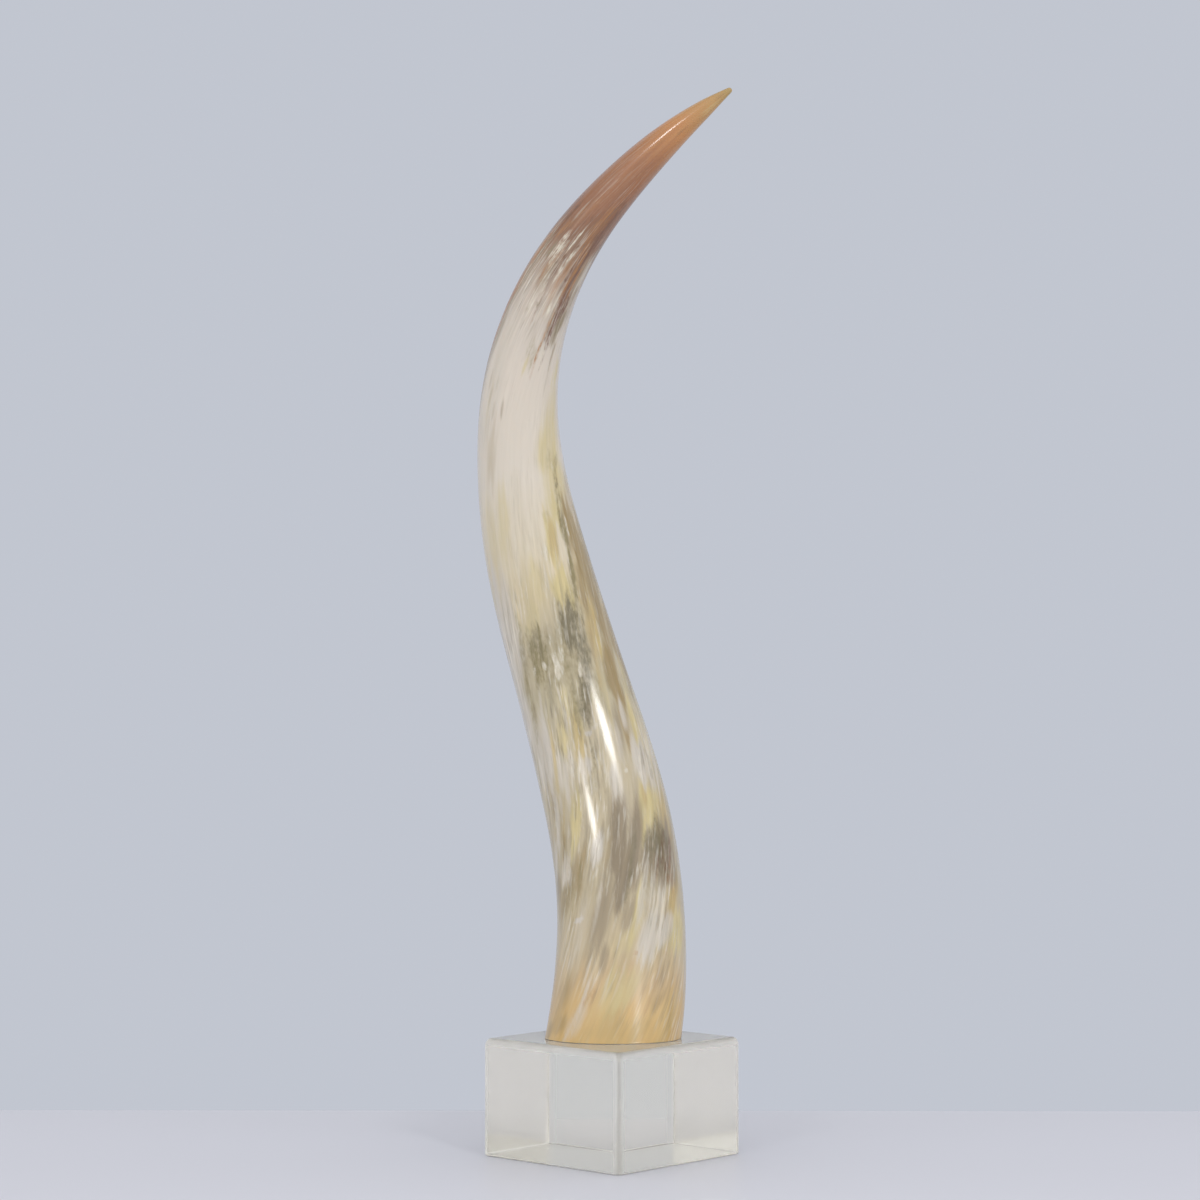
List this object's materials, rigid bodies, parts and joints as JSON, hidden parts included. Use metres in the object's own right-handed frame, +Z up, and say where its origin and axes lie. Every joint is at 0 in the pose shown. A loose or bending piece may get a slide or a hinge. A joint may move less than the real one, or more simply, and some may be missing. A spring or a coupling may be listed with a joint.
{
  "type": "longhorn horn on clear block stand",
  "caption": "Polished longhorn steer horn standing upright on a clear acrylic block: a tall S-curve that tapers from an oval foot to a blunt tip.",
  "frame": {"origin": "centre of the clear block's bottom face", "axes": "+Z up; X and Y run along the block's sides; the horn's tip bends towards +X turned 42 degrees to +Y"},
  "size_m": [0.1984, 0.1517, 0.7774],
  "materials": {
    "polished_horn": "natural horn, sanded and buffed to a gloss, ivory and amber with brown streaks",
    "clear_acrylic": "cast clear acrylic with polished faces and softly rounded edges"
  },
  "bodies": {
    "root": {"horn": "polished_horn", "acrylic_block": "clear_acrylic"}
  },
  "joints": []
}
